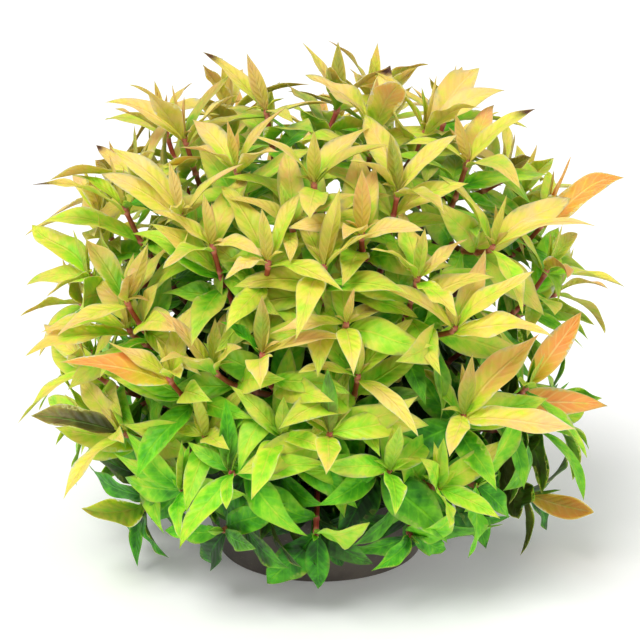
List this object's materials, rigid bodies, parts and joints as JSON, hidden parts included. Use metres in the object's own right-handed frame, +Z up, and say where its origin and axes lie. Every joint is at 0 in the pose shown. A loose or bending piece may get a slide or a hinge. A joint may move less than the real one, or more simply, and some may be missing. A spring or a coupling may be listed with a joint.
{
  "type": "potted ammannia multiflora",
  "caption": "Dome-shaped bush of upright stems with opposite lance-shaped leaves, rooted in the soil of a plain round pot that it hangs over.",
  "frame": {"origin": "centre of the pot's flat base, on the surface that it stands on", "axes": "+Z up, along the pot's axis; the pictured front faces -Y, and +X is to its right"},
  "size_m": [0.2893, 0.3061, 0.2528],
  "materials": {
    "leaf": "satin",
    "stem": "satin",
    "pot": "matte",
    "soil": "matte"
  },
  "bodies": {
    "root": {"pot": "pot", "shoot_01": "leaf", "shoot_02": "leaf", "shoot_03": "leaf", "shoot_04": "leaf", "shoot_05": "leaf", "shoot_06": "leaf", "shoot_07": "leaf", "shoot_08": "leaf", "shoot_09": "leaf", "shoot_10": "leaf", "shoot_11": "leaf", "shoot_12": "leaf", "shoot_13": "leaf", "shoot_14": "leaf", "shoot_15": "leaf", "shoot_16": "leaf", "shoot_17": "leaf", "shoot_18": "leaf", "shoot_19": "leaf", "shoot_20": "leaf", "shoot_21": "leaf", "shoot_22": "leaf", "shoot_23": "leaf", "shoot_24": "leaf", "shoot_25": "leaf", "shoot_26": "leaf", "shoot_27": "leaf", "shoot_28": "leaf", "shoot_29": "leaf", "shoot_30": "leaf", "shoot_31": "leaf", "shoot_32": "leaf", "shoot_33": "leaf", "shoot_34": "leaf", "shoot_35": "leaf", "shoot_36": "leaf", "shoot_37": "leaf", "shoot_38": "leaf", "shoot_39": "leaf", "shoot_40": "leaf", "shoot_41": "leaf", "shoot_42": "leaf", "soil": "soil"}
  },
  "joints": []
}
